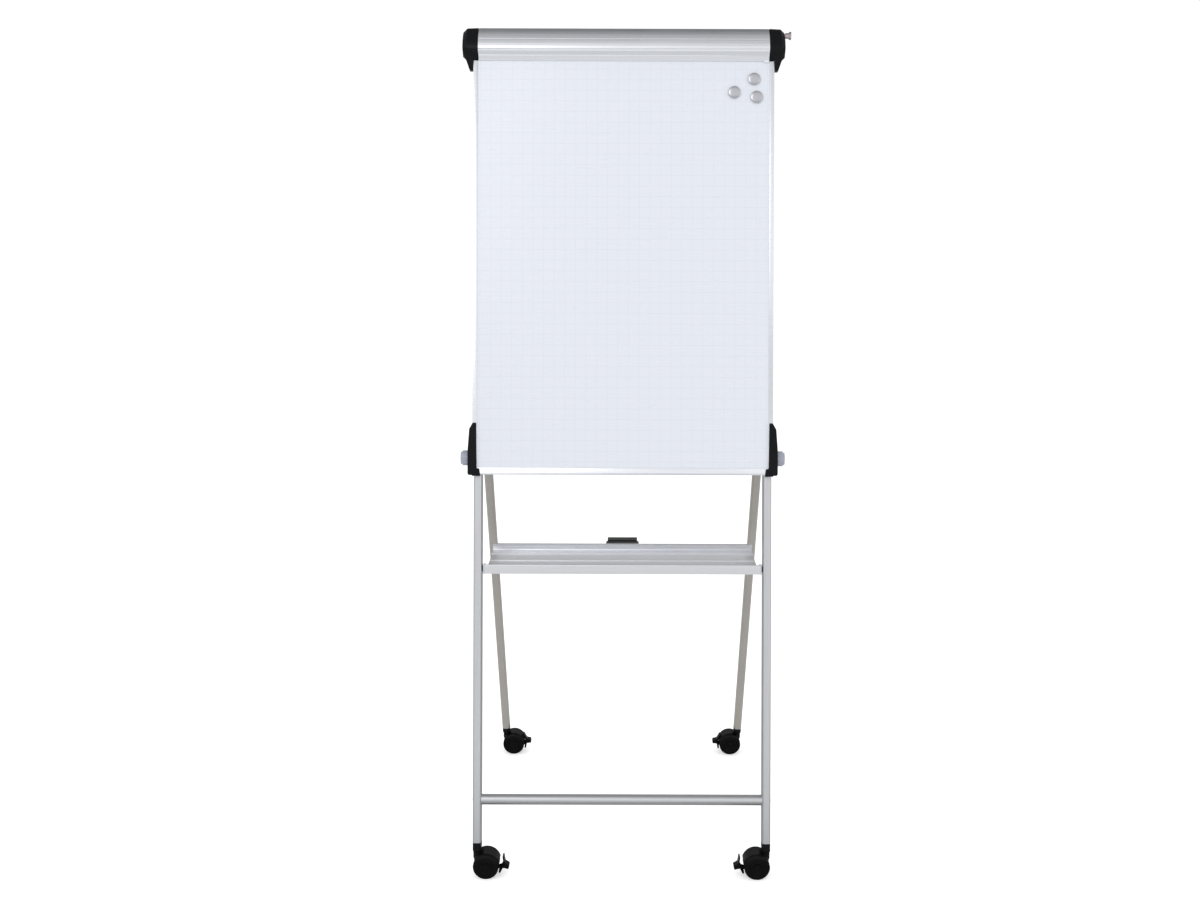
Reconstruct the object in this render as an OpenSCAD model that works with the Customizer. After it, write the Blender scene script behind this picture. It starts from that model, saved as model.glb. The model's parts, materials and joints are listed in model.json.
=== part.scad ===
// Mobile flipchart easel: a leaning front frame that carries a height-adjustable whiteboard,
// a folding rear frame, a drop-in pen tray with a latch, and four braked twin-wheel castors.
// Millimetres. Z is up, the writing side faces -Y, and the origin is on the floor under the middle.

/* [Stance] */
// Backward lean of the front frame from upright, in degrees
lean = 10.5; // [9.5:0.5:11.5]
// Angle between the front legs and the open rear legs, in degrees
spread = 33.2; // [32:0.2:34]
// Distance from the middle to the centre of each front leg
front_leg_x = 338.2; // [338:0.1:338.6]
// Distance from the middle to the centre of each rear leg
rear_leg_x = 333.5; // [333:0.1:334]
// Where the front leg tubes end above the floor, measured along the leg
front_leg_foot = 82; // [80:1:85]
// Top of the front leg tubes, measured along the leg
front_leg_top = 1205; // [1190:5:1240]
// Length of the rear leg tubes below their hinge
rear_leg_len = 1121; // [1118:1:1124]
// Height of the rear hinge, measured along the front leg
hinge_u = 1146; // [1140:1:1152]

/* [Leg tube] */
// Width of a leg tube across the easel
leg_w = 19.1; // [18.8:0.1:19.4]
// Depth of a leg tube
leg_d = 34; // [32:1:35]
// Wall of the leg tubes
leg_wall = 1.5; // [1.2:0.1:2]
// Outer corner radius of a leg tube
leg_round = 5; // [3:0.5:6]
// Diameter of the front cross tube
cross_d = 24.5; // [22:0.5:28]
// Height of the front cross tube, measured along the leg
cross_u = 180; // [155:1:300]
// Diameter of the rear cross tube that the tray latch hooks over
bar_d = 20; // [18:1:20]
// Distance of the rear cross tube below the hinge, along the rear leg
bar_w = 475.6; // [475:0.1:476]

/* [Board] */
// Overall width of the board
board_w = 700; // [698:1:702]
// Lower edge of the board, measured along the front leg
board_bottom = 942.6; // [935:0.1:950]
// Top of the clamp bar, measured along the front leg
board_top = 1981.5; // [1965:0.5:1995]
// Width of the board's side profiles
profile_w = 11; // [10:0.5:12]
// Depth of the board's side profiles
profile_d = 10.5; // [10.5:0.5:12]
// Height of the board's bottom profile
bottom_h = 16; // [14:1:20]
// Thickness of the enamelled steel writing sheet
sheet_t = 0.6; // [0.4:0.1:0.8]
// Thickness of the board's core
core_t = 7; // [6:0.1:7]
// Diameter of the round magnets
magnet_d = 28.5; // [20:0.5:30]

/* [Tray] */
// Height of the tray's pivot, measured along the front leg
tray_u = 722; // [720:1:724]
// Length of the tray profile
tray_len = 644; // [640:1:646]
// Width of the latch at the back of the tray
latch_w = 76; // [60:1:84]

/* [Castor] */
// Diameter of the castor wheels
wheel_d = 60; // [58:1:60]
// Width of one castor wheel
wheel_w = 17; // [15:0.5:17]
// Overall width of a castor's hood
hood_w = 52; // [52:1:54]
// Distance of the wheel axle behind the swivel axis
trail = 21.6; // [20:0.2:22]
// How far the brake pedal turns between pressed and released, in degrees
pedal_travel = 20; // [15:1:20]

/* [Hidden] */
$fn = 48;

aluminium = [0.80, 0.81, 0.83];
black = [0.10, 0.10, 0.11];
white = [0.91, 0.93, 0.96];
grey = [0.63, 0.65, 0.69];
steel = [0.72, 0.73, 0.75];

fit_gap = 0.05;      // radial clearance of a pin in its bore
slide_gap = 0.4;     // clearance between parts that slide on each other
screw_r = 2.5;
screw_head_r = 4.5;
screw_head_h = 1.6;

// rear hinge and the two frames' feet, as depth and height in the level frame
hinge_n = 40;
hinge_pin_r = 4;
hinge_screw_x = front_leg_x - 1;
rear_tilt = spread - lean;
hinge_y = hinge_n * cos(lean) + hinge_u * sin(lean);
hinge_z = hinge_u * cos(lean) - hinge_n * sin(lean);
front_stem_y = front_leg_foot * sin(lean) - 8;
rear_stem_y = hinge_y + rear_leg_len * sin(rear_tilt) + 10;
middle_y = (front_stem_y + rear_stem_y) / 2;

// castor sizes
wheel_r = wheel_d / 2;
wheel_gap = 0.8;              // clearance around a wheel inside its hood
web_w = hood_w - 2 * (wheel_w + wheel_gap) - 3.6;
hood_r = wheel_r + 3;
hood_round = 8;
axle_r = 3;
stem_r = 5;
stem_bottom = 40;
stem_top = 80;
neck_top = 61;
neck_r = 9.2;
socket_bottom = wheel_r + hood_r + 1.3;
boss_bottom = neck_top + 0.5;
pedal_pivot = [trail + 20, wheel_r - 13];
pedal_pin_r = 2;

// board levels, measured behind the front legs' centre plane (in front is negative)
board_back = -leg_d / 2 - 0.5;
profile_front = board_back - profile_d;
panel_front = profile_front + 1;
panel_back = panel_front + sheet_t + core_t;
profile_slot = 6;
panel_half_w = board_w / 2 - profile_w + profile_slot;
rail_bottom = board_top - 64.5;
panel_top = rail_bottom + 9;
panel_bottom = board_bottom + 9;

// clamp bar, its hinge and its front curve
clamp_hinge = [-8, board_top - 6.5];
clamp_hinge_r = 6.5;
clamp_pin_r = 2.5;
clamp_wall = 2.2;
clamp_half_len = 337.2;
clamp_arc_centre = [25.8, board_top - 56];
clamp_arc_r = 75;
clamp_arc_from = 131.6;
clamp_arc_to = 178.5;
clamp_arc_steps = 10;
cap_x = 338;
arm_axis = [-20, board_top - 14.5];
arm_r = 4;
arm_in = 60;
arm_out = 384;
peg_r = 3;
peg_u = rail_bottom + 21.5;
peg_x = 225;
peg_tip = -40;
peg_slot = 7.2;
peg_foot_w = 11.4;

bracket_bottom = board_bottom - 1.2;
bracket_top = board_bottom + 120.6;
knob_u = board_bottom + 38.6;
knob_r = 17.8;
knob_stud_r = 4;
knob_x = 361;
knob_t = 18;

bar_x = rear_leg_x - leg_w / 2;
front_gap_x = front_leg_x - leg_w / 2;
tray_plate_t = 4;
tray_pin_r = 4;
tray_clip = [189, -1];
latch_bead_r = 4;
tray_channel = [-6.9, -5.5];
tray_screw_r = 1.4;

// ---------- frames ----------

// depth and height measured along the leaning front frame
module front_frame() {
    translate([0, -middle_y, 0]) rotate([-lean, 0, 0]) children();
}

// origin at the rear hinge, Z up along the rear legs
module rear_frame() {
    front_frame() translate([0, hinge_n, hinge_u]) rotate([spread, 0, 0]) children();
}

// origin at the tray's pivot, level
module tray_frame() {
    front_frame() translate([0, 0, tray_u]) rotate([lean, 0, 0]) children();
}

// the right-hand version as drawn, or its mirror image on the left
module on_side(side) {
    if (side > 0) children();
    else mirror([1, 0, 0]) children();
}

// a castor's own frame: origin on the floor under the stem, wheels trailing towards the middle
module castor_frame(side, rear) {
    stem_x = rear ? rear_leg_x : front_leg_x;
    stem_y = (rear ? rear_stem_y : front_stem_y) - middle_y;
    on_side(side) translate([stem_x, stem_y, 0]) mirror([1, 0, 0]) children();
}

// ---------- helpers ----------

module round_rect(w, d, r) {
    square([w - 2 * r, d], center = true);
    square([w, d - 2 * r], center = true);
    for (sx = [-1, 1], sy = [-1, 1])
        translate([sx * (w / 2 - r), sy * (d / 2 - r)]) circle(r);
}

module tube_profile(w, d, r, wall) {
    difference() {
        round_rect(w, d, r);
        round_rect(w - 2 * wall, d - 2 * wall, r - wall);
    }
}

// a straight bar with round ends, between two points
module link(a, b, r) {
    d = b - a;
    length = norm(d);
    translate(a) rotate(atan2(d[1], d[0])) {
        translate([0, -r]) square([length, 2 * r]);
        circle(r);
        translate([length, 0]) circle(r);
    }
}

module box_2d(from, to) {
    translate(from) square(to - from);
}

// a profile drawn as (depth, height), extruded across the easel
module across(length) {
    rotate([90, 0, 90]) linear_extrude(length, center = true) children();
}

// the same, from one place across the easel to another
module across_between(x0, x1) {
    translate([(x0 + x1) / 2, 0, 0]) across(x1 - x0) children();
}

// a profile drawn as (across, height), extruded in depth
module deep(length) {
    rotate([90, 0, 0]) linear_extrude(length, center = true) children();
}

// a cylinder across the easel between two places, at a depth and height
module cross_cylinder(r, x0, x1, at) {
    translate([x0, at[0], at[1]]) rotate([0, 90, 0]) cylinder(h = x1 - x0, r = r);
}

// a screw across the easel, its head against x0 and its tip at x1
module side_screw(x0, x1, at) {
    toward = x1 > x0 ? 1 : -1;
    translate([x0, at[0], at[1]]) rotate([0, toward * 90, 0]) {
        cylinder(h = abs(x1 - x0), r = screw_r);
        difference() {
            translate([0, 0, -screw_head_h]) cylinder(h = screw_head_h, r1 = screw_head_r - 1,
                r2 = screw_head_r);
            translate([0, 0, -screw_head_h]) cylinder(h = 1, r = 1.6, $fn = 6);
        }
    }
}

// a pin across the easel with a wider head at each end
module headed_pin(r, head_r, x0, x1, at) {
    cross_cylinder(r, x0, x1, at);
    cross_cylinder(head_r, x0 - 2, x0, at);
    cross_cylinder(head_r, x1, x1 + 2, at);
}

module both_sides() {
    for (side = [-1, 1]) on_side(side) children();
}

// ---------- front frame ----------

module front_leg(side) {
    color(aluminium) front_frame() on_side(side) difference() {
        translate([front_leg_x, 0, front_leg_foot])
            linear_extrude(front_leg_top - front_leg_foot)
            tube_profile(leg_w, leg_d, leg_round, leg_wall);
        cross_cylinder(screw_r, front_gap_x - 1, front_leg_x + leg_w, [0, cross_u]);
        cross_cylinder(tray_pin_r, front_gap_x - 1, front_leg_x, [0, tray_u]);
        for (u = [hinge_u - 15, hinge_u + 15])
            translate([hinge_screw_x, leg_d / 2 - leg_wall - 1, u]) rotate([-90, 0, 0])
                cylinder(h = leg_wall + 2, r = screw_r);
    }
}

module front_cross_tube() {
    color(aluminium) front_frame() difference() {
        cross_cylinder(cross_d / 2, -front_gap_x, front_gap_x, [0, cross_u]);
        cross_cylinder(cross_d / 2 - leg_wall, -front_gap_x + 4, front_gap_x - 4, [0, cross_u]);
        both_sides() cross_cylinder(screw_r, front_gap_x - 20, front_gap_x + 1, [0, cross_u]);
    }
}

// one long screw through each leg into the cross tube, and two into each hinge bracket
module frame_screws() {
    color(steel) front_frame() both_sides() {
        side_screw(front_leg_x + leg_w / 2, front_gap_x - 14, [0, cross_u]);
        for (u = [hinge_u - 15, hinge_u + 15])
            translate([hinge_screw_x, leg_d / 2 + 3, u]) rotate([90, 0, 0]) {
                cylinder(h = 3 + leg_wall + 6, r = screw_r);
                translate([0, 0, -screw_head_h]) cylinder(h = screw_head_h, r = screw_head_r);
            }
    }
}

module front_leg_plugs() {
    color(black) front_frame() both_sides() translate([front_leg_x, 0, front_leg_top]) {
        linear_extrude(3) round_rect(leg_w, leg_d, leg_round);
        translate([0, 0, -14]) linear_extrude(14)
            round_rect(leg_w - 2 * leg_wall, leg_d - 2 * leg_wall, leg_round - leg_wall);
    }
}

// a steel fork behind each front leg: a plate with two ears for the rear leg's hinge pin
module hinge_brackets() {
    ear_t = 3;
    ear_in = leg_w / 2 + 0.5;
    plate_t = 3;
    plate_h = 46;
    color(steel) front_frame() both_sides() translate([rear_leg_x, 0, hinge_u]) difference() {
        union() {
            translate([-ear_in - ear_t, leg_d / 2, -plate_h / 2])
                cube([2 * (ear_in + ear_t), plate_t, plate_h]);
            for (x = [-ear_in - ear_t, ear_in]) translate([x + ear_t / 2, 0, 0]) across(ear_t) {
                box_2d([leg_d / 2, -12], [hinge_n, 12]);
                translate([hinge_n, 0]) circle(12);
            }
        }
        cross_cylinder(hinge_pin_r, -30, 30, [hinge_n, 0]);
        for (u = [-15, 15])
            translate([hinge_screw_x - rear_leg_x, leg_d / 2 - 1, u]) rotate([-90, 0, 0])
            cylinder(h = plate_t + 2, r = screw_r);
    }
}

module hinge_pins() {
    half = leg_w / 2 + 3.5;
    color(steel) front_frame() both_sides()
        headed_pin(hinge_pin_r, 7, rear_leg_x - half, rear_leg_x + half, [hinge_n, hinge_u]);
}

// a flanged pin in each leg's inner wall, which the tray turns on
module tray_pivot_pins() {
    flange_t = 1.6;
    color(black) front_frame() both_sides() {
        cross_cylinder(tray_pin_r, tray_len / 2 + 0.4, front_gap_x + leg_wall + 2, [0, tray_u]);
        cross_cylinder(7, front_gap_x - flange_t, front_gap_x, [0, tray_u]);
    }
}

// the part of a foot socket that every leg shares, drawn in the leg's own frame:
// a plug inside the tube and a collar under it
module socket_block(foot) {
    translate([0, 0, foot]) linear_extrude(24)
        round_rect(leg_w - 2 * leg_wall, leg_d - 2 * leg_wall, leg_round - leg_wall);
    translate([0, 0, foot - 40]) linear_extrude(40) round_rect(leg_w, leg_d, leg_round);
}

// everything outside a foot socket: the space under its level foot, and the stem's hole
module socket_cuts(stem_x, stem_y) {
    translate([stem_x, stem_y, socket_bottom - 60]) difference() {
        translate([-60, -60, 0]) cube([120, 120, 60]);
        cylinder(h = 60, r = neck_r);
    }
    translate([stem_x - 60, stem_y - 60, boss_bottom - 60]) cube([120, 120, 60]);
    translate([stem_x, stem_y, 0]) cylinder(h = stem_top, r = stem_r);
}

module front_foot_sockets() {
    color(black) both_sides() difference() {
        union() {
            front_frame() translate([front_leg_x, 0, 0]) socket_block(front_leg_foot);
            translate([front_leg_x, front_stem_y - middle_y, boss_bottom])
                cylinder(h = 10, r = neck_r);
        }
        socket_cuts(front_leg_x, front_stem_y - middle_y);
    }
}

module castor_stems(x, y) {
    color(steel) both_sides() translate([x, y - middle_y, stem_bottom + 0.5])
        cylinder(h = stem_top - stem_bottom - 0.5, r = stem_r);
}

module front_castor_stems() { castor_stems(front_leg_x, front_stem_y); }

// ---------- rear frame ----------

module rear_leg(side) {
    color(aluminium) rear_frame() on_side(side) difference() {
        translate([rear_leg_x, 0, -rear_leg_len]) linear_extrude(rear_leg_len - leg_d / 2)
            tube_profile(leg_w, leg_d, leg_round, leg_wall);
        cross_cylinder(screw_r, bar_x - 1, rear_leg_x + leg_w, [0, -bar_w]);
    }
}

module rear_cross_tube() {
    color(aluminium) rear_frame() difference() {
        cross_cylinder(bar_d / 2, -bar_x, bar_x, [0, -bar_w]);
        cross_cylinder(bar_d / 2 - leg_wall, -bar_x + 4, bar_x - 4, [0, -bar_w]);
        both_sides() cross_cylinder(screw_r, bar_x - 20, bar_x + 1, [0, -bar_w]);
    }
}

// a moulded end in the top of each rear leg, rounded to swing inside its fork
module rear_hinge_eyes() {
    color(black) rear_frame() both_sides() translate([rear_leg_x, 0, 0]) difference() {
        union() {
            across(leg_w) {
                circle(leg_d / 2 - 0.5);
                box_2d([-leg_d / 2 + 0.5, -leg_d / 2], [leg_d / 2 - 0.5, 0]);
            }
            translate([0, 0, -leg_d / 2 - 30]) linear_extrude(30)
                round_rect(leg_w - 2 * leg_wall, leg_d - 2 * leg_wall, leg_round - leg_wall);
        }
        cross_cylinder(hinge_pin_r + fit_gap, -leg_w, leg_w, [0, 0]);
    }
}

module rear_screws() {
    color(steel) rear_frame() both_sides()
        side_screw(rear_leg_x + leg_w / 2, bar_x - 14, [0, -bar_w]);
}

module rear_foot_sockets() {
    color(black) both_sides() difference() {
        union() {
            rear_frame() translate([rear_leg_x, 0, 0]) socket_block(-rear_leg_len);
            translate([rear_leg_x, rear_stem_y - middle_y, boss_bottom])
                cylinder(h = 10, r = neck_r);
        }
        socket_cuts(rear_leg_x, rear_stem_y - middle_y);
    }
}

module rear_castor_stems() { castor_stems(rear_leg_x, rear_stem_y); }

// ---------- board ----------

module writing_sheet() {
    color(white) front_frame()
        translate([-panel_half_w, panel_front, panel_bottom])
        cube([2 * panel_half_w, sheet_t, panel_top - panel_bottom]);
}

module board_core() {
    color(grey) front_frame()
        translate([-panel_half_w, panel_front + sheet_t, panel_bottom])
        cube([2 * panel_half_w, core_t, panel_top - panel_bottom]);
}

// a channel along each side of the board, open towards the panel
module side_profile(side) {
    color(aluminium) front_frame() on_side(side)
        translate([board_w / 2 - profile_w, 0, board_bottom])
        linear_extrude(rail_bottom + 28 - board_bottom) difference() {
            box_2d([0, profile_front], [profile_w, board_back]);
            box_2d([-1, panel_front], [profile_slot, panel_back]);
            box_2d([profile_slot + 1.2, profile_front + 1.2], [profile_w - 1.2, board_back - 1.2]);
        }
}

module bottom_profile() {
    half = board_w / 2 - profile_w;
    foot_x = 331;
    color(aluminium) front_frame() difference() {
        union() {
            across(2 * half)
                box_2d([profile_front, board_bottom], [board_back, board_bottom + bottom_h]);
            across(2 * foot_x) translate([profile_front, board_bottom + 2]) circle(1.4);
        }
        across(board_w) {
            box_2d([panel_front, panel_bottom], [panel_back, board_bottom + bottom_h + 1]);
            box_2d([profile_front + 1.5, board_bottom + 1.5],
                [board_back - 1.5, panel_bottom - 1.5]);
        }
    }
}

// the fixed rail over the board's top edge, with a T-slot for the pad pegs
module head_rail() {
    front = profile_front - 0.5;
    back = -6;
    color(aluminium) front_frame() across(2 * (cap_x - 0.5)) difference() {
        union() {
            box_2d([front, rail_bottom], [back, rail_bottom + 42]);
            box_2d([back - 3, rail_bottom + 42], [back, rail_bottom + 49]);
        }
        box_2d([panel_front, rail_bottom - 1], [panel_back, panel_top]);
        box_2d([front - 1, peg_u - peg_slot / 2], [front + 3.5, peg_u + peg_slot / 2]);
        box_2d([front + 3, peg_u - 6], [front + 7, peg_u + 6]);
        box_2d([front + 9, panel_top + 2], [back - 2, rail_bottom + 40]);
        box_2d([front + 2, rail_bottom + 30], [front + 9.1, rail_bottom + 40]);
    }
}

// the clamp bar's front curve: an arc down to its most forward ridge, then in to the lip
function clamp_curve(inset) = concat(
    [for (i = [0 : clamp_arc_steps])
        let (a = clamp_arc_from + (clamp_arc_to - clamp_arc_from) * i / clamp_arc_steps)
        clamp_arc_centre + (clamp_arc_r - inset) * [cos(a), sin(a)]],
    [for (p = [[-47, -55.6], [-45.5, -58.6], [-36, -68], [-30, -74.4], [-28.4, -76.2]])
        [min(p[0] + inset * 0.7, panel_front - 0.6), board_top + p[1] + inset * 0.7]]
);

// the closed section of the head, as the end caps show it
module head_section(grow) {
    offset(delta = grow) polygon(concat(
        clamp_curve(0), [[-17, board_top - 76], [-5, board_top - 58], [-5, board_top]]));
}

module end_cap(side) {
    lobe = [board_w / 2 + 0.3, board_w / 2 + 9];
    color(black) front_frame() on_side(side) difference() {
        union() {
            hull() {
                translate([cap_x, 0, 0]) across_between(0, 0.5) head_section(0.6);
                translate([cap_x + 26, 0, 0]) across_between(0, 0.5) head_section(-0.5);
                translate([cap_x + 36, 0, 0]) across_between(0, 0.5) head_section(-9);
            }
            hull() {
                across_between(lobe[0], cap_x + 35) box_2d([-38, board_top - 58],
                    [-18, board_top - 50]);
                across_between(lobe[0], lobe[1]) box_2d([-28, board_top - 98],
                    [-12, board_top - 97]);
            }
            if (side > 0) across_between(cap_x - 40, cap_x + 1)
                box_2d([-26, board_top - 22], [-15.5, board_top - 9]);
            across_between(cap_x - 16, cap_x + 1)
                box_2d([-19, rail_bottom + 12], [-8.4, rail_bottom + 39.6]);
        }
        across_between(cap_x - 1, board_w / 2) box_2d([profile_front, board_top - 110],
            [board_back, rail_bottom + 28]);
        cross_cylinder(clamp_pin_r, cap_x - 1, cap_x + 14, clamp_hinge);
        if (side > 0) cross_cylinder(arm_r + fit_gap, cap_x - 50, cap_x + 50, arm_axis);
    }
}

// a steel pin from each end cap into the end of the clamp bar
module clamp_pins() {
    color(steel) front_frame() both_sides()
        cross_cylinder(clamp_pin_r, clamp_half_len - 22, cap_x + 14, clamp_hinge);
}

// a moulded guide that carries the board on the front leg: it hugs the side profile's front
// and outer edge, and the outer and back faces of the leg
module slide_bracket(side) {
    front = profile_front - 3;
    leg_out = front_leg_x + leg_w / 2 + slide_gap;
    leg_back = leg_d / 2 + slide_gap;
    outline = [[339, bracket_bottom], [358, bracket_bottom], [360.6, bracket_bottom + 4],
        [360.6, knob_u + 18], [357, bracket_top - 14], [349, bracket_top], [340.4, bracket_top]];
    color(black) front_frame() on_side(side) difference() {
        union() {
            intersection() {
                translate([0, (front + leg_back + 3) / 2, 0]) deep(leg_back + 3 - front)
                    polygon(outline);
                translate([0, 0, bracket_bottom - 1]) linear_extrude(200) union() {
                    box_2d([339, front], [361, board_back]);
                    box_2d([leg_out, front], [361, leg_back + 3]);
                    box_2d([leg_out - 6, leg_back], [361, leg_back + 3]);
                }
            }
            translate([0, (front + profile_front) / 2, 0]) deep(profile_front - front)
                polygon([[331.5, bracket_bottom], [340, bracket_bottom],
                    [340, bracket_bottom + 16], [333.5, bracket_bottom + 16]]);
            translate([0, (front + board_back) / 2, 0]) deep(board_back - front)
                box_2d([331.5, bracket_bottom - 2], [350, bracket_bottom + 1.2]);
        }
        translate([0, (profile_front + board_back) / 2, 0]) deep(board_back - profile_front)
            box_2d([300, board_bottom], [board_w / 2, 2000]);
        cross_cylinder(knob_stud_r + fit_gap, leg_out - 1, 370, [0, knob_u]);
    }
}

// the screws that hold the brackets' feet under the board, and the caps to the rail's back
module board_screws() {
    foot_z = bracket_bottom - 2;
    color(steel) front_frame() both_sides() {
        translate([335, (profile_front + board_back) / 2, foot_z]) {
            cylinder(h = 8, r = 1.5);
            translate([0, 0, -1.2]) cylinder(h = 1.2, r = 3);
        }
        for (u = [rail_bottom + 16, rail_bottom + 34])
            translate([cap_x - 8, -6, u]) rotate([90, 0, 0]) {
                cylinder(h = 6, r = 1.5);
                translate([0, 0, -1.2]) cylinder(h = 1.2, r = 3);
            }
    }
}

// ---------- what moves on the board ----------

// the section of the cover: a hinge bead, a top plate and a curved front
module clamp_section() {
    outer = clamp_curve(0);
    inner = clamp_curve(clamp_wall);
    polygon(concat(outer, [for (i = [len(inner) - 1 : -1 : 0]) inner[i]]));
    box_2d([outer[0][0], board_top - clamp_wall], [clamp_hinge[0], board_top]);
    translate(clamp_hinge) circle(clamp_hinge_r);
}

// the aluminium cover that swings up from the pad, with a finger tab at its right end
module clamp_bar() {
    color(aluminium) front_frame() difference() {
        union() {
            across(2 * clamp_half_len) clamp_section();
            across_between(clamp_half_len - 12, clamp_half_len)
                box_2d([-29.6, board_top - 79.5], [-28.4, board_top - 72]);
        }
        both_sides() cross_cylinder(clamp_pin_r + fit_gap, clamp_half_len - 24,
            clamp_half_len + 1, clamp_hinge);
    }
}

// a soft strip inside the bar's lip that presses on the paper
module clamp_strip() {
    color(black) front_frame() across(2 * clamp_half_len - 30) difference() {
        polygon([[-27.5, board_top - 75.6], [-27.5, board_top - 68], [-34, board_top - 68],
            [-34, board_top - 70]]);
        clamp_section();
    }
}

// a grip with finger flutes, on a threaded stud that presses on the leg
module knob(side) {
    flute_n = 10;
    color(grey) front_frame() on_side(side) {
        difference() {
            union() {
                cross_cylinder(knob_r, knob_x, knob_x + knob_t - 4, [0, knob_u]);
                cross_cylinder(knob_r - 3, knob_x, knob_x + knob_t, [0, knob_u]);
            }
            for (i = [0 : flute_n - 1])
                cross_cylinder(2, knob_x + 3, knob_x + knob_t + 1,
                    [(knob_r + 1) * cos(i * 360 / flute_n),
                     knob_u + (knob_r + 1) * sin(i * 360 / flute_n)]);
        }
        cross_cylinder(knob_stud_r, front_leg_x + leg_w / 2 + 0.25, knob_x, [0, knob_u]);
    }
}

module arm_rod() {
    color(steel) front_frame() difference() {
        cross_cylinder(arm_r, -arm_in, arm_out, arm_axis);
        cross_cylinder(arm_r - 1, -arm_in - 1, arm_out - 6, arm_axis);
    }
}

module arm_knob() {
    color(steel) front_frame() {
        difference() {
            cross_cylinder(6.4, cap_x + 38, arm_out + 0.8, arm_axis);
            cross_cylinder(arm_r, cap_x + 37, arm_out, arm_axis);
        }
        cross_cylinder(9.2, arm_out + 0.8, arm_out + 5, arm_axis);
    }
}

// a round peg for the pad's punched holes, on a foot that slides in the rail's T-slot
module pad_peg(side) {
    slot_front = profile_front - 0.5;
    color(black) front_frame() on_side(side) translate([peg_x, 0, peg_u]) {
        translate([0, slot_front + 4.5, 0]) rotate([90, 0, 0])
            cylinder(h = slot_front + 4.5 - peg_tip, r = peg_r);
        translate([-9, slot_front + 3.8, -peg_foot_w / 2]) cube([18, 2.8, peg_foot_w]);
    }
}

magnet_places = [[303, 1864], [257, 1833], [309, 1822]];

// a round magnet: a shallow steel-capped dome standing on the writing sheet
module magnet(i) {
    r = magnet_d / 2;
    rim_h = 3.5;
    dome_h = 4;
    dome_r = (r * r + dome_h * dome_h) / (2 * dome_h);
    color(steel) front_frame()
        translate([magnet_places[i][0], panel_front - 0.05, magnet_places[i][1]])
        rotate([90, 0, 0]) {
            cylinder(h = rim_h, r = r);
            translate([0, 0, rim_h]) intersection() {
                cylinder(h = dome_h, r = r);
                translate([0, 0, dome_h - dome_r]) sphere(dome_r);
            }
        }
}

// ---------- tray ----------

// one extrusion: front lip, pen trough, sloping floor with ribs, rear rim and latch groove
module tray_profile() {
    color(aluminium) tray_frame() across(tray_len) difference() {
        union() {
            box_2d([-11.6, -10], [-9.4, 10.6]);
            translate([-9.9, 10.6]) circle(1.9);
            box_2d([-11.6, -10], [99, -8]);
            box_2d([97, -10], [99, -6.3]);
            polygon([[98, -10], [180, -1.5], [180, 0.5], [98, -8]]);
            polygon([[140, -5], [142, -5], [142, -1.6], [140, -1.6]]);
            box_2d([176, -6], [184, 12]);
            box_2d([173, 7], [184, 12]);
            translate(tray_clip) circle(6);
            translate(tray_channel) circle(tray_screw_r + 1.2);
            box_2d([-10, -9], [tray_channel[0] + tray_screw_r + 1.2, tray_channel[1]]);
        }
        translate(tray_channel) circle(tray_screw_r);
        box_2d([178, -4], [182, 10]);
        translate(tray_clip) {
            circle(latch_bead_r + 0.15);
            polygon([[0, 0], [12, -6.6], [12, 13]]);
        }
    }
}

// a moulded plate on each end of the tray's front, with the bore that turns on the leg's pin
module tray_end_caps() {
    color(grey) tray_frame() both_sides() difference() {
        across_between(tray_len / 2, tray_len / 2 + tray_plate_t)
            polygon([[-12.2, -10.6], [-12.2, 11], [-10, 13], [-6, 13], [16, 8], [30, -10.6]]);
        cross_cylinder(tray_pin_r + fit_gap, tray_len / 2 - 1, tray_len, [0, 0]);
        cross_cylinder(tray_screw_r, tray_len / 2 - 1, tray_len, tray_channel);
        cross_cylinder(tray_screw_r + 1.1, tray_len / 2 + tray_plate_t - 1.6, tray_len,
            tray_channel);
    }
}

// a screw through each end plate into the channel behind the tray's lip
module tray_screws() {
    end_x = tray_len / 2 + tray_plate_t;
    color(steel) tray_frame() both_sides() {
        cross_cylinder(tray_screw_r, tray_len / 2 - 14, end_x - 1.6, tray_channel);
        cross_cylinder(tray_screw_r + 1.1, end_x - 1.6, end_x, tray_channel);
    }
}

// the latch: a bead in the tray's groove, an arm, and a hook behind the rear cross tube
module tray_latch() {
    bar = [hinge_y + bar_w * sin(rear_tilt) - tray_u * sin(lean),
           hinge_z - bar_w * cos(rear_tilt) - tray_u * cos(lean)];
    over = bar[1] + bar_d / 2 + 0.4;
    behind = bar[0] + bar_d / 2 + 0.6;
    color(black) tray_frame() {
        across(latch_w) {
            translate(tray_clip) circle(latch_bead_r);
            link(tray_clip, [tray_clip[0] + 12, -1], 1.6);
            polygon([[tray_clip[0] + 8, -3.4], [tray_clip[0] + 8, 1.4], [bar[0] - 26, -6],
                [bar[0] - 22, -4], [behind - 2, -4], [behind + 5, -7], [behind + 5, bar[1] - 8],
                [behind + 2, bar[1] - 11], [behind, bar[1] - 8], [behind, over],
                [bar[0] - 18, over]]);
        }
        across(latch_w + 8) box_2d([bar[0] - 20, over], [behind, over + 4]);
    }
}

// ---------- castors ----------

// half of a wheel's or a hood's section, as (radius, place along the axle), with round corners
module barrel_section(r, y0, y1, r0, r1) {
    box_2d([0, y0 + r0], [r, y1 - r1]);
    box_2d([0, y0], [r - r0, y0 + r0]);
    box_2d([0, y1 - r1], [r - r1, y1]);
    translate([r - r0, y0 + r0]) circle(r0);
    translate([r - r1, y1 - r1]) circle(r1);
}

// the same with bevelled corners
module bevelled_section(r, y0, y1, c0, c1) {
    polygon([[0, y0], [r - c0, y0], [r - 0.29 * c0, y0 + 0.29 * c0], [r, y0 + c0],
        [r, y1 - c1], [r - 0.29 * c1, y1 - 0.29 * c1], [r - c1, y1], [0, y1]]);
}

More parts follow.
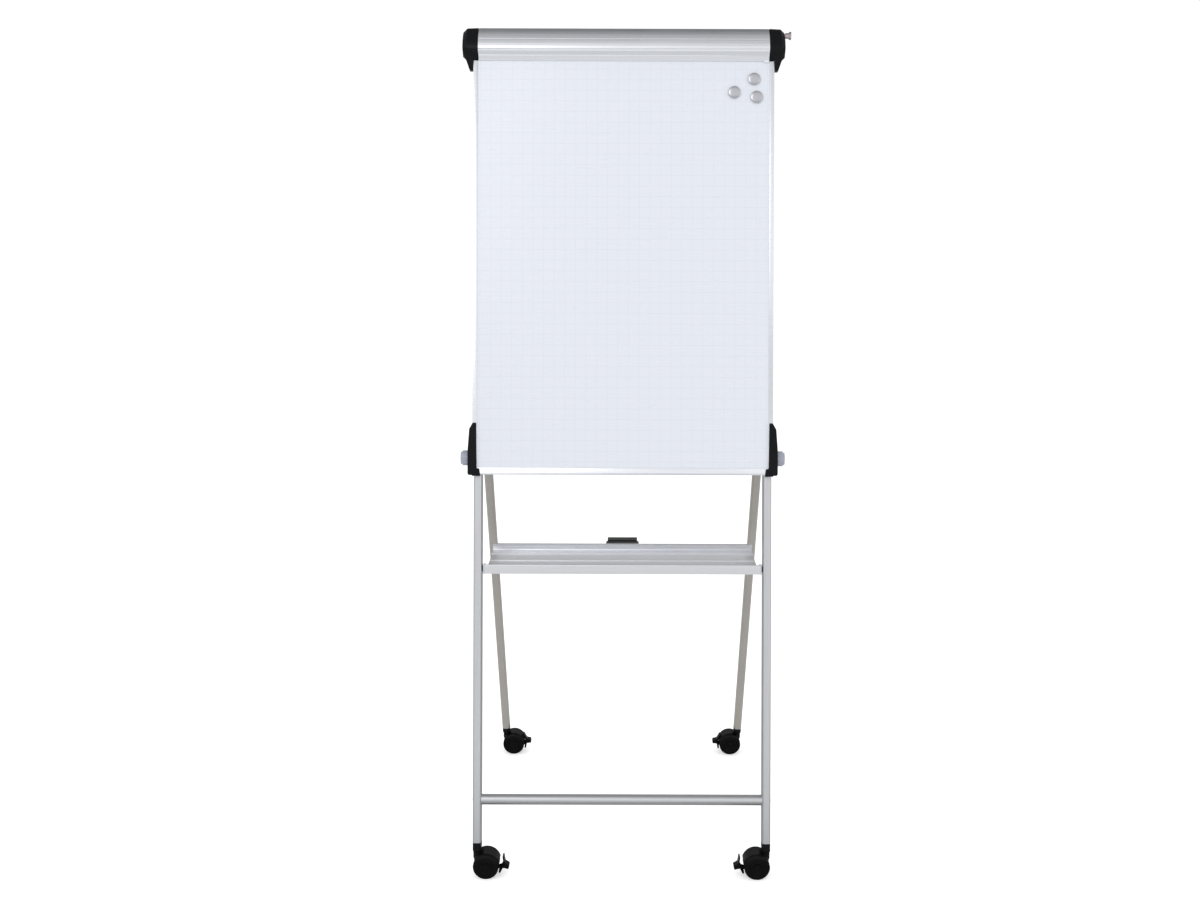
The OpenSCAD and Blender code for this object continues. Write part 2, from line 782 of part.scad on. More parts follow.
// turned about the wheel axle of a castor
module about_axle() {
    translate([trail, 0, wheel_r]) rotate([-90, 0, 0]) rotate_extrude() intersection() {
        children();
        translate([0, -50]) square([50, 100]);
    }
}

// the hood's outline from the side: over the wheels' top and down the trailing side
module hood_outline() {
    c = [trail, wheel_r];
    polygon([c + [-34, 24], c + [-14, 17], c + [24, 10], c + [27, 9], c + [40, 9],
        c + [40, 40], c + [-34, 40]]);
}

module wheel_well(dir) {
    y0 = web_w / 2;
    well_w = wheel_w + wheel_gap;
    mirror_y = dir > 0 ? 0 : 1;
    mirror([0, mirror_y, 0]) about_axle()
        bevelled_section(wheel_r + 1, y0, y0 + well_w, 0.5, 4);
}

module castor_housing(side, rear) {
    hood_half = hood_w / 2;
    ear_t = 2;
    ear_c = pedal_pivot;
    color(black) castor_frame(side, rear) {
        difference() {
            union() {
                intersection() {
                    about_axle() bevelled_section(hood_r, -hood_half, hood_half, hood_round,
                        hood_round);
                    deep(hood_w) hood_outline();
                }
                translate([0, 0, wheel_r + 14]) cylinder(h = neck_top - wheel_r - 14, r = neck_r);
                deep(web_w) {
                    translate([trail, wheel_r]) circle(9);
                    polygon([[-7, wheel_r + 4], [trail - 6, wheel_r - 6],
                        [trail + 8, wheel_r - 2], [trail + 10, wheel_r + 14],
                        [-7, neck_top - 12]]);
                    link([trail, wheel_r], ear_c, 5);
                }
            }
            for (dir = [-1, 1]) wheel_well(dir);
            deep(web_w - 2 * ear_t) translate(ear_c) circle(8.5);
            translate([ear_c[0], 0, ear_c[1]]) rotate([90, 0, 0])
                cylinder(h = 40, r = pedal_pin_r + fit_gap, center = true);
            translate([0, 0, stem_bottom]) cylinder(h = 60, r = stem_r + fit_gap);
        }
        // the fixed steel axle
        translate([trail, 0, wheel_r]) rotate([90, 0, 0])
            cylinder(h = web_w + 26, r = axle_r, center = true);
    }
}

// one wheel of a pair: dir -1 is the wheel nearer the writing side
module castor_wheel(side, rear, dir) {
    y0 = web_w / 2 + wheel_gap / 2;
    mirror_y = dir > 0 ? 0 : 1;
    color(black) castor_frame(side, rear) mirror([0, mirror_y, 0]) difference() {
        about_axle() barrel_section(wheel_r, y0, y0 + wheel_w, 1, 4.5);
        translate([trail, y0 + wheel_w, wheel_r]) rotate([-90, 0, 0])
            translate([0, 0, -1.2]) cylinder(h = 2, r = 22);
        translate([trail, y0 - 1, wheel_r]) rotate([-90, 0, 0])
            cylinder(h = 14.5, r = axle_r + fit_gap);
    }
}

// the brake rocker as drawn when pressed: hub, stalk, upright prong, lobe and heel
module pedal_outline() {
    c = [trail, wheel_r];
    link(pedal_pivot, c + [37, -6], 3.4);
    link(c + [31, -19], c + [37, -7], 2.6);
    link(c + [37, -6], c + [42, 4], 2.4);
    link(c + [42, 4], c + [40.2, 18.5], 1.8);
    link(c + [41.5, 2], c + [50.6, -4.2], 2.6);
    link(c + [50.6, -4.2], c + [49.6, -8.6], 3.2);
    link(c + [37, -6], c + [49.6, -8], 3);
}

module turned_pedal(angle) {
    translate([pedal_pivot[0], 0, pedal_pivot[1]]) rotate([0, -angle, 0])
        translate([-pedal_pivot[0], 0, -pedal_pivot[1]]) children();
}

// front castors rest with the brake pressed, rear ones with it released
module castor_pedal(side, rear) {
    hub_w = web_w - 2 * 2 - 0.6;
    tread_w = 18;
    rest = rear ? pedal_travel : 0;
    color(black) castor_frame(side, rear) turned_pedal(rest) {
        deep(hub_w) {
            translate(pedal_pivot) circle(4.5);
            pedal_outline();
        }
        translate([pedal_pivot[0], 0, pedal_pivot[1]]) rotate([90, 0, 0])
            cylinder(h = web_w - 0.4, r = pedal_pin_r, center = true);
        difference() {
            deep(tread_w) pedal_outline();
            for (angle = [0, -pedal_travel / 2, -pedal_travel]) turned_pedal(angle)
                translate([trail, 0, wheel_r]) rotate([90, 0, 0])
                    cylinder(h = 60, r = hood_r + 0.8, center = true);
        }
    }
}

front_leg(-1);  // front_leg_left
front_leg(1);  // front_leg_right
front_cross_tube();
frame_screws();
front_leg_plugs();
hinge_brackets();
hinge_pins();
tray_pivot_pins();
front_foot_sockets();
front_castor_stems();
rear_leg(-1);  // rear_leg_left
rear_leg(1);  // rear_leg_right
rear_cross_tube();
rear_hinge_eyes();
rear_screws();
rear_foot_sockets();
rear_castor_stems();
writing_sheet();
board_core();
side_profile(-1);  // side_profile_left
side_profile(1);  // side_profile_right
bottom_profile();
head_rail();
end_cap(-1);  // end_cap_left
end_cap(1);  // end_cap_right
clamp_pins();
slide_bracket(-1);  // slide_bracket_left
slide_bracket(1);  // slide_bracket_right
board_screws();
clamp_bar();
clamp_strip();
knob(-1);  // knob_left
knob(1);  // knob_right
arm_rod();
arm_knob();
pad_peg(-1);  // pad_peg_left
pad_peg(1);  // pad_peg_right
magnet(0);  // magnet_1
magnet(1);  // magnet_2
magnet(2);  // magnet_3
tray_profile();
tray_end_caps();
tray_latch();
tray_screws();
castor_housing(-1, false);  // castor_fl_housing
castor_wheel(-1, false, -1);  // castor_fl_wheel_front
castor_wheel(-1, false, 1);  // castor_fl_wheel_rear
castor_pedal(-1, false);  // castor_fl_pedal
castor_housing(1, false);  // castor_fr_housing
castor_wheel(1, false, -1);  // castor_fr_wheel_front
castor_wheel(1, false, 1);  // castor_fr_wheel_rear
castor_pedal(1, false);  // castor_fr_pedal
castor_housing(-1, true);  // castor_rl_housing
castor_wheel(-1, true, -1);  // castor_rl_wheel_front
castor_wheel(-1, true, 1);  // castor_rl_wheel_rear
castor_pedal(-1, true);  // castor_rl_pedal
castor_housing(1, true);  // castor_rr_housing
castor_wheel(1, true, -1);  // castor_rr_wheel_front
castor_wheel(1, true, 1);  // castor_rr_wheel_rear
castor_pedal(1, true);  // castor_rr_pedal
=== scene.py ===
"""Looks for the flipchart easel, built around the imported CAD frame."""
import json
import math

import bmesh
import bpy
from mathutils import Matrix, Vector

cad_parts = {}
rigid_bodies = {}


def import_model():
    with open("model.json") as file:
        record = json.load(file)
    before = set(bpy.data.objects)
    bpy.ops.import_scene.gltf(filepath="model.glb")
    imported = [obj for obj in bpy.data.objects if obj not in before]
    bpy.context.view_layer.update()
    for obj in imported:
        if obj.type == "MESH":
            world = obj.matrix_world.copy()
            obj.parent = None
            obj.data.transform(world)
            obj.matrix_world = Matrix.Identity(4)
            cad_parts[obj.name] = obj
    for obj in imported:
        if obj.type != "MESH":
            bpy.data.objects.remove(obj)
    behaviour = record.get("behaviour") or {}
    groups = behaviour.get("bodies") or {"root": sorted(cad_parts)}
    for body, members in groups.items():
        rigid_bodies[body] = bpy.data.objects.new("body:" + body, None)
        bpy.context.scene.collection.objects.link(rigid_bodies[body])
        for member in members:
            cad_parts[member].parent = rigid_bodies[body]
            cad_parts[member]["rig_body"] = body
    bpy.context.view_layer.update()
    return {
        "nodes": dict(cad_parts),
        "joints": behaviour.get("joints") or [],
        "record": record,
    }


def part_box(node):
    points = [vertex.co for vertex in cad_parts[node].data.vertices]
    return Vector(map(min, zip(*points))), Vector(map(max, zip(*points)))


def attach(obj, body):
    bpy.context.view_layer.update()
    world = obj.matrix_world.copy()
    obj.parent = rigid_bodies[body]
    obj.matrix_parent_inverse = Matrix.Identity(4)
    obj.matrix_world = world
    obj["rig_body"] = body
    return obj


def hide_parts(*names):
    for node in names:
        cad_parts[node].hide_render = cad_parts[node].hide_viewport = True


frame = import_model()
JOINTS = {joint["name"]: joint for joint in frame["joints"]}
SLOT_OF = {part["node"]: part["material_slot"] for part in frame["record"]["subparts"]}
LEAN = math.asin(JOINTS["board_height"]["axis"][1])
MM = 0.001

# ---------------------------------------------------------------- frames


def leaning():
    """Row frame from (across, depth, up the leg), with its origin where the leg line meets the floor."""
    pivot = Vector(JOINTS["tray_fold"]["pos_m"])
    up = Vector(JOINTS["board_height"]["axis"])
    foot = pivot - up * (pivot.z / up.z)
    return Matrix.Translation(Vector((0, foot.y, 0))) @ Matrix.Rotation(-LEAN, 4, "X")


LEANING = leaning()


def about(origin, axis):
    """A frame at origin whose Z is along axis."""
    return Matrix.Translation(Vector(origin)) @ Vector(axis).to_track_quat("Z", "Y").to_matrix().to_4x4()


# ---------------------------------------------------------------- materials


def new_material(name):
    material = bpy.data.materials.new(name)
    material.use_nodes = True
    nodes = material.node_tree.nodes
    return material, nodes, material.node_tree.links, nodes["Principled BSDF"]


def coordinates(nodes, links, scale, tilt=0.0):
    """Row-frame coordinates, turned by tilt about X and stretched."""
    source = nodes.new("ShaderNodeTexCoord")
    turn = nodes.new("ShaderNodeVectorRotate")
    turn.rotation_type = "X_AXIS"
    turn.inputs["Angle"].default_value = tilt
    stretch = nodes.new("ShaderNodeMapping")
    stretch.inputs["Scale"].default_value = scale
    links.new(source.outputs["Object"], turn.inputs["Vector"])
    links.new(turn.outputs["Vector"], stretch.inputs["Vector"])
    return stretch.outputs["Vector"]


def noise(nodes, links, vector, scale, detail=3.0):
    texture = nodes.new("ShaderNodeTexNoise")
    texture.inputs["Scale"].default_value = scale
    texture.inputs["Detail"].default_value = detail
    links.new(vector, texture.inputs["Vector"])
    return texture.outputs["Fac"]


def between(nodes, links, factor, low, high):
    """A number that goes from low to high with factor."""
    ramp = nodes.new("ShaderNodeMapRange")
    ramp.inputs["From Min"].default_value = 0.3
    ramp.inputs["From Max"].default_value = 0.7
    ramp.inputs["To Min"].default_value = low
    ramp.inputs["To Max"].default_value = high
    links.new(factor, ramp.inputs["Value"])
    return ramp.outputs["Result"]


def tinted(nodes, links, factor, dark, light):
    mix = nodes.new("ShaderNodeMix")
    mix.data_type = "RGBA"
    mix.inputs["A"].default_value = (*dark, 1)
    mix.inputs["B"].default_value = (*light, 1)
    links.new(between(nodes, links, factor, 0, 1), mix.inputs["Factor"])
    return mix.outputs["Result"]


def bump(nodes, links, height, strength, distance, shader):
    node = nodes.new("ShaderNodeBump")
    node.inputs["Strength"].default_value = strength
    node.inputs["Distance"].default_value = distance
    links.new(height, node.inputs["Height"])
    links.new(node.outputs["Normal"], shader.inputs["Normal"])


def shade(colour, factor):
    return tuple(channel * factor for channel in colour)


DIE_LINES_PER_M = 900.0
DIE_LINE_STRETCH = 5.0


def drawn_metal(name, colour, rough, along, tilt=0.0):
    """Satin metal with fine die lines along one axis (0, 1 or 2) of the tilted row frame."""
    material, nodes, links, shader = new_material(name)
    scale = [DIE_LINES_PER_M] * 3
    scale[along] = DIE_LINE_STRETCH
    lines = noise(nodes, links, coordinates(nodes, links, scale, tilt), 1.0, 2.0)
    cloud = noise(nodes, links, coordinates(nodes, links, (1, 1, 1)), 9.0, 4.0)
    shader.inputs["Metallic"].default_value = 1.0
    links.new(tinted(nodes, links, lines, shade(colour, 0.94), colour), shader.inputs["Base Color"])
    rough_mix = nodes.new("ShaderNodeMath")
    rough_mix.operation = "ADD"
    links.new(between(nodes, links, lines, rough - 0.03, rough + 0.03), rough_mix.inputs[0])
    links.new(between(nodes, links, cloud, -0.02, 0.03), rough_mix.inputs[1])
    links.new(rough_mix.outputs["Value"], shader.inputs["Roughness"])
    bump(nodes, links, lines, 0.10, 0.0002, shader)
    return material


def moulded(name, colour, rough, grain=2600.0, depth=0.12, gloss=0.5):
    """Moulded plastic with a fine spark-eroded grain and faint handling marks."""
    material, nodes, links, shader = new_material(name)
    fine = noise(nodes, links, coordinates(nodes, links, (1, 1, 1)), grain, 2.0)
    marks = noise(nodes, links, coordinates(nodes, links, (1, 1, 1)), 30.0, 5.0)
    shader.inputs["Specular IOR Level"].default_value = gloss
    links.new(tinted(nodes, links, marks, shade(colour, 0.88), shade(colour, 1.1)),
              shader.inputs["Base Color"])
    links.new(between(nodes, links, marks, rough - 0.05, rough + 0.06), shader.inputs["Roughness"])
    bump(nodes, links, fine, depth, 0.0003, shader)
    return material


def painted(name, colour, rough):
    """Powder coat: a fine orange peel over an even colour."""
    material, nodes, links, shader = new_material(name)
    peel = noise(nodes, links, coordinates(nodes, links, (1, 1, 1)), 900.0, 2.0)
    cloud = noise(nodes, links, coordinates(nodes, links, (1, 1, 1)), 12.0, 4.0)
    shader.inputs["Metallic"].default_value = 0.25
    shader.inputs["Coat Weight"].default_value = 0.25
    shader.inputs["Coat Roughness"].default_value = 0.3
    links.new(tinted(nodes, links, cloud, shade(colour, 0.95), colour), shader.inputs["Base Color"])
    links.new(between(nodes, links, peel, rough - 0.04, rough + 0.04), shader.inputs["Roughness"])
    bump(nodes, links, peel, 0.18, 0.0003, shader)
    return material


GRID = 24.7 * MM
GRID_LINE = 0.045


def grid_line(nodes, links, component, offset):
    """1 on the printed lines across one axis, 0 elsewhere."""
    shift = nodes.new("ShaderNodeMath")
    shift.operation = "MULTIPLY_ADD"
    shift.inputs[1].default_value = 1 / GRID
    shift.inputs[2].default_value = offset
    links.new(component, shift.inputs[0])
    fold = nodes.new("ShaderNodeMath")
    fold.operation = "PINGPONG"
    fold.inputs[1].default_value = 0.5
    links.new(shift.outputs["Value"], fold.inputs[0])
    line = nodes.new("ShaderNodeMath")
    line.operation = "LESS_THAN"
    line.inputs[1].default_value = GRID_LINE / 2
    links.new(fold.outputs["Value"], line.inputs[0])
    return line.outputs["Value"]


def enamel(name):
    """Glossy white enamelled steel with a faint printed grid and faint wiped-off smears."""
    material, nodes, links, shader = new_material(name)
    split = nodes.new("ShaderNodeSeparateXYZ")
    links.new(coordinates(nodes, links, (1, 1, 1), LEAN), split.inputs["Vector"])
    both = nodes.new("ShaderNodeMath")
    both.operation = "MAXIMUM"
    links.new(grid_line(nodes, links, split.outputs["X"], 0.5), both.inputs[0])
    links.new(grid_line(nodes, links, split.outputs["Z"], 0.2), both.inputs[1])
    mix = nodes.new("ShaderNodeMix")
    mix.data_type = "RGBA"
    mix.inputs["A"].default_value = (0.775, 0.805, 0.875, 1)
    mix.inputs["B"].default_value = (0.72, 0.75, 0.82, 1)
    links.new(both.outputs["Value"], mix.inputs["Factor"])
    links.new(mix.outputs["Result"], shader.inputs["Base Color"])
    smear = noise(nodes, links, coordinates(nodes, links, (3, 3, 14)), 2.0, 5.0)
    links.new(between(nodes, links, smear, 0.24, 0.34), shader.inputs["Roughness"])
    shader.inputs["Coat Weight"].default_value = 0.2
    shader.inputs["Coat Roughness"].default_value = 0.12
    waves = noise(nodes, links, coordinates(nodes, links, (1, 1, 1)), 5.0, 1.0)
    bump(nodes, links, waves, 0.05, 0.002, shader)
    return material


def fibre(name, colour):
    material, nodes, links, shader = new_material(name)
    fibres = noise(nodes, links, coordinates(nodes, links, (300, 300, 60)), 4.0, 5.0)
    links.new(tinted(nodes, links, fibres, shade(colour, 0.8), colour), shader.inputs["Base Color"])
    shader.inputs["Roughness"].default_value = 0.85
    bump(nodes, links, fibres, 0.3, 0.0005, shader)
    return material


MATERIALS = {
    "frame_aluminium": drawn_metal("frame_aluminium", (0.66, 0.67, 0.69), 0.38, 2, LEAN),
    "rear_frame_paint": painted("rear_frame_paint", (0.47, 0.45, 0.415), 0.42),
    "board_aluminium": drawn_metal("board_aluminium", (0.84, 0.86, 0.90), 0.30, 0),
    "fastener_steel": drawn_metal("fastener_steel", (0.55, 0.56, 0.58), 0.32, 0),
    "chrome": drawn_metal("chrome", (0.50, 0.44, 0.45), 0.16, 0),
    "enamel": enamel("enamel"),
    "board_core": fibre("board_core", (0.50, 0.50, 0.50)),
    "magnet_steel": drawn_metal("magnet_steel", (0.52, 0.53, 0.56), 0.24, 1),
    "tray_aluminium": drawn_metal("tray_aluminium", (0.86, 0.87, 0.90), 0.30, 0),
    "light_plastic": moulded("light_plastic", (0.62, 0.65, 0.71), 0.42),
    "grey_plastic": moulded("grey_plastic", (0.44, 0.465, 0.55), 0.38),
    "rubber": moulded("rubber", (0.012, 0.012, 0.013), 0.75, 1400.0, 0.3, 0.2),
    "wheel_plastic": moulded("wheel_plastic", (0.0030, 0.0029, 0.0030), 0.45, gloss=0.12),
    "castor_plastic": moulded("castor_plastic", (0.0035, 0.0030, 0.0030), 0.32, gloss=0.14),
    "black_plastic": moulded("black_plastic", (0.0030, 0.0033, 0.0046), 0.30, gloss=0.16),
}
for node, cad_object in frame["nodes"].items():
    cad_object.data.materials.clear()
    cad_object.data.materials.append(MATERIALS[SLOT_OF[node]])


# ---------------------------------------------------------------- pieces


def finish_piece(piece, node):
    """Gives a new piece the material of its CAD node's slot, and the node's body."""
    name = SLOT_OF[node]
    piece.data.materials.clear()
    piece.data.materials.append(MATERIALS[name])
    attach(piece, frame["nodes"][node]["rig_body"])


def link_object(name, mesh):
    piece = bpy.data.objects.new(name, mesh)
    bpy.context.scene.collection.objects.link(piece)
    return piece


def apply_modifiers(piece):
    bpy.context.view_layer.update()
    evaluated = piece.evaluated_get(bpy.context.evaluated_depsgraph_get())
    mesh = bpy.data.meshes.new_from_object(evaluated)
    piece.modifiers.clear()
    piece.data = mesh


def cad_copy(node):
    """A welded copy of a CAD node's mesh, in its place."""
    mesh = frame["nodes"][node].data.copy()
    piece = link_object(node + "_skin", mesh)
    form = bmesh.new()
    form.from_mesh(mesh)
    bmesh.ops.remove_doubles(form, verts=form.verts, dist=2e-6)
    form.to_mesh(mesh)
    form.free()
    piece.parent = None
    return piece


def smooth_faces(mesh, angle=None):
    for polygon in mesh.polygons:
        polygon.use_smooth = True
    if angle is not None:
        mesh.set_sharp_from_angle(angle=math.radians(angle))


def softened(node, voxel, passes):
    """A moulded piece: the CAD shape with its corners rounded."""
    piece = cad_copy(node)
    remesh = piece.modifiers.new("remesh", "REMESH")
    remesh.mode = "VOXEL"
    remesh.voxel_size = voxel * MM
    relax = piece.modifiers.new("relax", "SMOOTH")
    relax.factor = 0.5
    relax.iterations = passes
    apply_modifiers(piece)
    smooth_faces(piece.data)
    finish_piece(piece, node)
    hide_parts(node)


def edged(node, width, angle=32):
    """The CAD shape with a small bevel on its sharp edges."""
    piece = cad_copy(node)
    form = bmesh.new()
    form.from_mesh(piece.data)
    bmesh.ops.dissolve_limit(form, angle_limit=math.radians(0.4), verts=form.verts, edges=form.edges)
    form.to_mesh(piece.data)
    form.free()
    bevel = piece.modifiers.new("bevel", "BEVEL")
    bevel.width = width * MM
    bevel.segments = 2
    bevel.limit_method = "ANGLE"
    bevel.angle_limit = math.radians(angle)
    bevel.miter_outer = "MITER_ARC"
    apply_modifiers(piece)
    smooth_faces(piece.data, angle)
    finish_piece(piece, node)
    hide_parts(node)


def lathe(name, profile, place, steps=96):
    """A turned piece: profile is (radius, height) in millimetres, turned about place's Z."""
    form = bmesh.new()
    rings = []
    for radius, height in profile:
        if radius < 1e-6:
            rings.append([form.verts.new((0, 0, height * MM))])
            continue
        rings.append([form.verts.new((radius * MM * math.cos(2 * math.pi * i / steps),
                                      radius * MM * math.sin(2 * math.pi * i / steps), height * MM))
                      for i in range(steps)])
    for low, high in zip(rings, rings[1:]):
        for i in range(steps):
            j = (i + 1) % steps
            corners = [low[i % len(low)], low[j % len(low)], high[j % len(high)], high[i % len(high)]]
            unique = list(dict.fromkeys(corners))
            if len(unique) > 2:
                form.faces.new(unique)
    bmesh.ops.recalc_face_normals(form, faces=form.faces)
    bmesh.ops.transform(form, matrix=place, verts=form.verts)
    mesh = bpy.data.meshes.new(name)
    form.to_mesh(mesh)
    form.free()
    smooth_faces(mesh, 40)
    return link_object(name, mesh)


def rounded(radius, y0, y1, fillet, steps=6):
    """Profile of a disc's rim from height y0 to y1, with rounded corners."""
    points = []
    for i in range(steps + 1):
        angle = math.pi / 2 * i / steps
        points.append((radius - fillet + fillet * math.sin(angle),
                       y0 + fillet - fillet * math.cos(angle)))
    for i in range(steps + 1):
        angle = math.pi / 2 * i / steps
        points.append((radius - fillet + fillet * math.cos(angle),
                       y1 - fillet + fillet * math.sin(angle)))
    return points


CASTORS = ("fl", "fr", "rl", "rr")


def castor_wheel(corner, end):
    """A wheel with a tread band, a recessed side, a raised ring and a hub cap."""
    node = f"castor_{corner}_wheel_{end}"
    low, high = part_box(node)
    axle = JOINTS[f"{corner}_wheel_{end}_spin"]["pos_m"]
    outward = -1 if end == "front" else 1
    inner = high.y if outward < 0 else low.y
    width = (high.y - low.y) / MM
    radius = (high.z - low.z) / 2 / MM
    place = about((axle[0], inner, axle[2]), (0, outward, 0))
    axle_bore, tread_fillet, cap_radius = 3.2, 3.2, 7.0
    profile = [(axle_bore, 0.0), (radius - 3, 0.0)]
    profile += rounded(radius, 0.0, width, tread_fillet)[1:]
    recess = [(radius - 5.5, width), (radius - 6.2, width - 1.2), (radius - 13, width - 2.0)]
    ring = [(radius - 14, width - 0.8), (radius - 16, width - 0.6), (radius - 17, width - 1.8)]
    hub_cap = [(cap_radius + 0.5, width - 2.4), (cap_radius, width - 0.8),
               (cap_radius - 1, width - 0.3), (0.0, width - 0.2)]
    profile += recess + ring + hub_cap
    piece = lathe(node + "_turned", profile, place)
    finish_piece(piece, node)
    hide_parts(node)


for corner in CASTORS:
    softened(f"castor_{corner}_housing", 0.7, 5)
    softened(f"castor_{corner}_pedal", 0.5, 4)
    for end in ("front", "rear"):
        castor_wheel(corner, end)


def magnet(index):
    """A silver dome on a straight rim, with a fine groove at its foot."""
    node = f"magnet_{index}"
    joint = JOINTS[f"magnet_{index}_pull"]
    low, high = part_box(node)
    axis = Vector(joint["axis"])
    centre = (low + high) / 2
    radius = (high.x - low.x) / 2 / MM
    half = abs((high - low).y) / MM / 2 / math.cos(LEAN) - radius * math.tan(LEAN)
    base = centre - axis * half * MM
    rim_top, dome_top, steps = 3.2, 2 * half - 0.1, 12
    profile = [(0, 0), (radius - 1.2, 0), (radius - 0.8, 0.5), (radius - 0.8, 0.8), (radius, 1.1),
               (radius, rim_top)]
    for i in range(1, steps + 1):
        angle = math.pi / 2 * i / steps
        profile.append((radius * math.cos(angle) if i < steps else 0.0,
                        rim_top + (dome_top - rim_top) * math.sin(angle)))
    piece = lathe(node + "_dome", profile, about(base, axis), 72)
    finish_piece(piece, node)
    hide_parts(node)


for number in (1, 2, 3):
    magnet(number)

for node in ("end_cap_left", "end_cap_right"):
    softened(node, 0.9, 6)
for node in ("front_foot_sockets", "rear_foot_sockets"):
    softened(node, 0.8, 3)
for node in ("slide_bracket_left", "slide_bracket_right", "tray_latch", "tray_end_caps"):
    softened(node, 0.7, 3)
for node in ("knob_left", "knob_right"):
    edged(node, 0.7, 28)
for node in ("head_rail", "bottom_profile", "side_profile_left", "side_profile_right"):
    edged(node, 0.35)
for node in ("hinge_brackets", "front_leg_plugs", "rear_hinge_eyes"):
    edged(node, 0.5)
edged("tray_profile", 0.3, 25)


GROOVE_HEIGHTS = (26.0, 49.5, 62.0)
GROOVE_RADIUS = 0.9


def groove_tools(node, heights, radius):
    """Thin round bars along the front of a node, at heights below its top."""
    low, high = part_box(node)
    source = cad_copy(node)
    bpy.context.view_layer.update()
    inward = source.matrix_world.inverted()
    points = []
    for height in heights:
        start = inward @ Vector((0.05, low.y - 0.2, high.z - height * MM))
        hit, point, _, _ = source.ray_cast(start, inward.to_3x3() @ Vector((0, 1, 0)))
        if hit:
            points.append(source.matrix_world @ point)
    bpy.data.objects.remove(source)
    length = (high.x - low.x) / MM + 2
    profile = [(0, 0), (radius, 0), (radius, length), (0, length)]
    return [lathe("groove", profile, about((low.x - 0.001, point.y, point.z), (1, 0, 0)), 12)
            for point in points]


def clamp_cover():
    """The clamp bar with the drawn lines along its front."""
    tools = groove_tools("clamp_bar", GROOVE_HEIGHTS, GROOVE_RADIUS)
    piece = cad_copy("clamp_bar")
    for tool in tools:
        cut = piece.modifiers.new("cut", "BOOLEAN")
        cut.operation = "DIFFERENCE"
        cut.solver = "EXACT"
        cut.object = tool
    apply_modifiers(piece)
    for tool in tools:
        bpy.data.objects.remove(tool)
    smooth_faces(piece.data, 30)
    even = piece.modifiers.new("even", "WEIGHTED_NORMAL")
    even.keep_sharp = True
    apply_modifiers(piece)
    finish_piece(piece, "clamp_bar")
    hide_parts("clamp_bar")


clamp_cover()


# ---------------------------------------------------------------- stage, light and camera


def ramp_of(nodes, links, value, low, high, at_low, at_high):
    """A number that goes smoothly from at_low to at_high while value goes from low to high."""
    ramp = nodes.new("ShaderNodeMapRange")
    ramp.interpolation_type = "SMOOTHSTEP"
    for name, number in (("From Min", low), ("From Max", high), ("To Min", at_low), ("To Max", at_high)):
        ramp.inputs[name].default_value = number
    links.new(value, ramp.inputs["Value"])
    return ramp.outputs["Result"]


def stage_floor():
    """White to look at; in reflections, painted shade: grey near the easel and bright far in front of
    it.
    """
    mesh = bpy.data.meshes.new("floor")
    size, camera_lift = 30.0, 0.42
    near_painted_shade, far_white = 0.45, 0.98
    mesh.from_pydata([(-size, -size, 0), (size, -size, 0), (size, size, 0), (-size, size, 0)], [],
                     [(0, 1, 2, 3)])
    floor = link_object("floor", mesh)
    material, nodes, links, shader = new_material("floor")
    path = nodes.new("ShaderNodeLightPath")
    tone = nodes.new("ShaderNodeMix")
    tone.data_type = "RGBA"
    tone.inputs["A"].default_value = (0.90, 0.90, 0.90, 1)
    place = nodes.new("ShaderNodeTexCoord")
    split = nodes.new("ShaderNodeSeparateXYZ")
    links.new(place.outputs["Object"], split.inputs["Vector"])
    # painted shade for reflections: only glossy rays see the floor turn grey near the easel, so the
    # metal's lower parts mirror a darker floor
    grey = ramp_of(nodes, links, split.outputs["Y"], -1.5, -0.6, far_white, near_painted_shade)
    links.new(grey, tone.inputs["B"])
    links.new(path.outputs["Is Glossy Ray"], tone.inputs["Factor"])
    links.new(tone.outputs["Result"], shader.inputs["Base Color"])
    shader.inputs["Roughness"].default_value = 0.9
    shader.inputs["Specular IOR Level"].default_value = 0.0
    lift = nodes.new("ShaderNodeMath")
    lift.operation = "MULTIPLY"
    lift.inputs[1].default_value = camera_lift
    links.new(path.outputs["Is Camera Ray"], lift.inputs[0])
    shader.inputs["Emission Color"].default_value = (1, 1, 1, 1)
    links.new(lift.outputs["Value"], shader.inputs["Emission Strength"])
    floor.data.materials.append(material)


def area_light(name, place, target, size, power):
    data = bpy.data.lights.new(name, "AREA")
    data.shape = "RECTANGLE"
    data.size, data.size_y = size
    data.energy = power
    lamp = bpy.data.objects.new(name, data)
    bpy.context.scene.collection.objects.link(lamp)
    lamp.location = place
    lamp.rotation_euler = (Vector(target) - Vector(place)).to_track_quat("-Z", "Y").to_euler()


ROOM_LIGHT = 0.90
SEEN_WHITE = 1.05


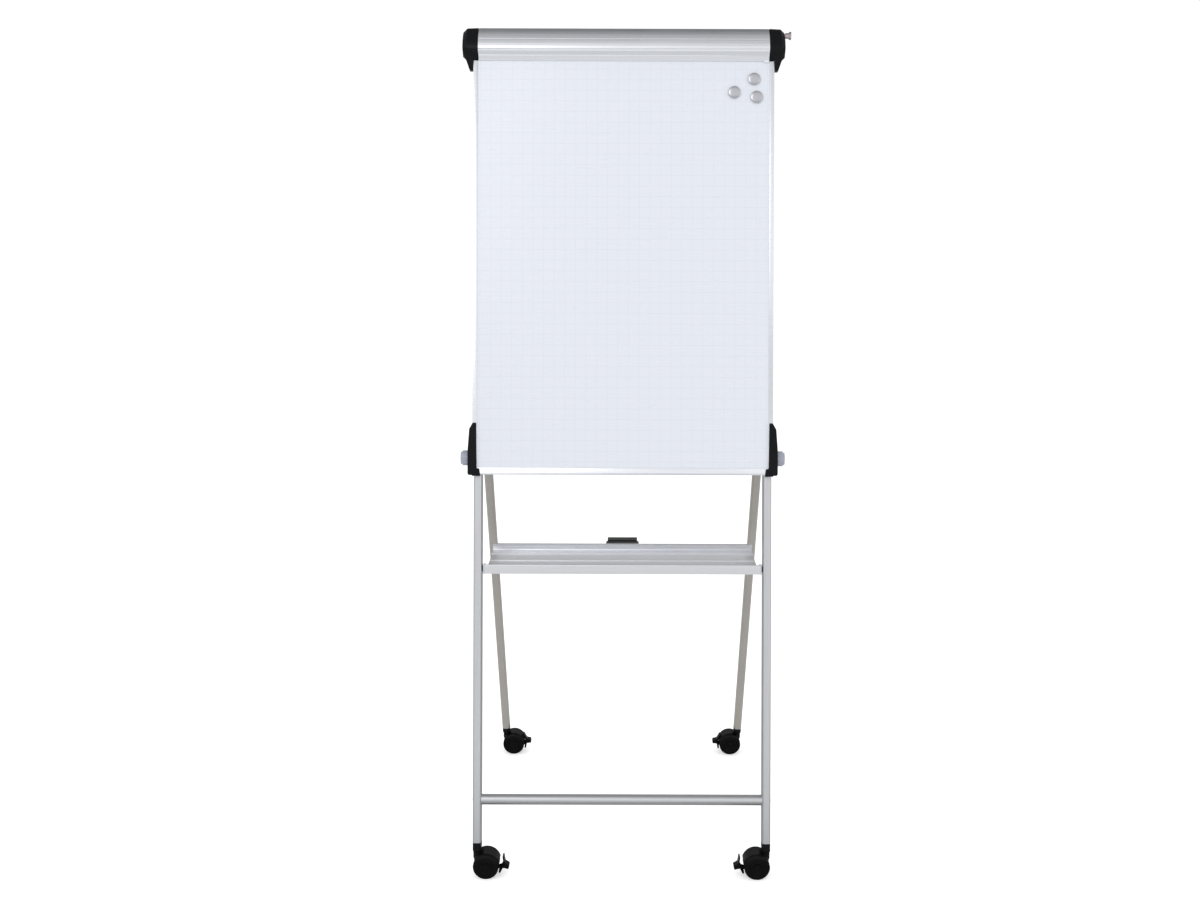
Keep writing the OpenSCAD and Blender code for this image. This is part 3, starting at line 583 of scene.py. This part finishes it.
def world_light():
    """White to look at; mirrored, a bright wall in front and a grey room behind and below."""
    world = bpy.data.worlds.new("studio")
    bpy.context.scene.world = world
    world.use_nodes = True
    nodes, links = world.node_tree.nodes, world.node_tree.links
    background = nodes["Background"]
    path = nodes.new("ShaderNodeLightPath")
    place = nodes.new("ShaderNodeTexCoord")
    split = nodes.new("ShaderNodeSeparateXYZ")
    links.new(place.outputs["Generated"], split.inputs["Vector"])
    behind = ramp_of(nodes, links, split.outputs["Y"], -0.15, 0.30, 1.0, 0.36)
    overhead = ramp_of(nodes, links, split.outputs["Z"], 0.45, 0.95, 1.0, 0.50)
    below = ramp_of(nodes, links, split.outputs["Z"], -0.02, 0.24, 0.45, 1.0)
    value = behind
    for other in (overhead, below):
        product = nodes.new("ShaderNodeMath")
        product.operation = "MULTIPLY"
        links.new(value, product.inputs[0])
        links.new(other, product.inputs[1])
        value = product.outputs["Value"]
    mirrored = nodes.new("ShaderNodeMix")
    mirrored.inputs["A"].default_value = ROOM_LIGHT
    links.new(path.outputs["Is Glossy Ray"], mirrored.inputs["Factor"])
    links.new(value, mirrored.inputs["B"])
    seen = nodes.new("ShaderNodeMix")
    links.new(path.outputs["Is Camera Ray"], seen.inputs["Factor"])
    links.new(mirrored.outputs["Result"], seen.inputs["A"])
    seen.inputs["B"].default_value = SEEN_WHITE
    background.inputs["Color"].default_value = (1, 1, 1, 1)
    links.new(seen.outputs["Result"], background.inputs["Strength"])


def camera():
    """Square to the board, level with a standing person's eyes."""
    distance, along = 2850.0, 1000.7
    sensor, lens, sideways = 36.0, 36.42, -0.0189167
    data = bpy.data.cameras.new("camera")
    data.sensor_width = sensor
    data.lens = lens
    data.shift_x = sideways
    data.clip_end = 100.0
    eye = bpy.data.objects.new("camera", data)
    bpy.context.scene.collection.objects.link(eye)
    place = LEANING @ Vector((0, -distance * MM, along * MM))
    roll = math.radians(0.18)
    eye.matrix_world = (Matrix.Translation(place) @ Matrix.Rotation(math.pi / 2 - LEAN, 4, "X")
                        @ Matrix.Rotation(roll, 4, "Z"))
    bpy.context.scene.camera = eye


# name, place, target, size in metres and power in watts
LAMPS = (
    ("key", (-1.6, -3.2, 3.4), (0, 0, 1.1), (2.4, 2.0), 20),
    ("fill", (2.6, -2.2, 1.6), (0, 0, 0.9), (1.8, 2.4), 6),
    ("back", (0.4, 3.0, 2.6), (0, 0.2, 1.0), (3.0, 1.5), 3),
)

stage_floor()
world_light()
for lamp in LAMPS:
    area_light(*lamp)
camera()
bpy.context.scene.view_settings.view_transform = "Standard"
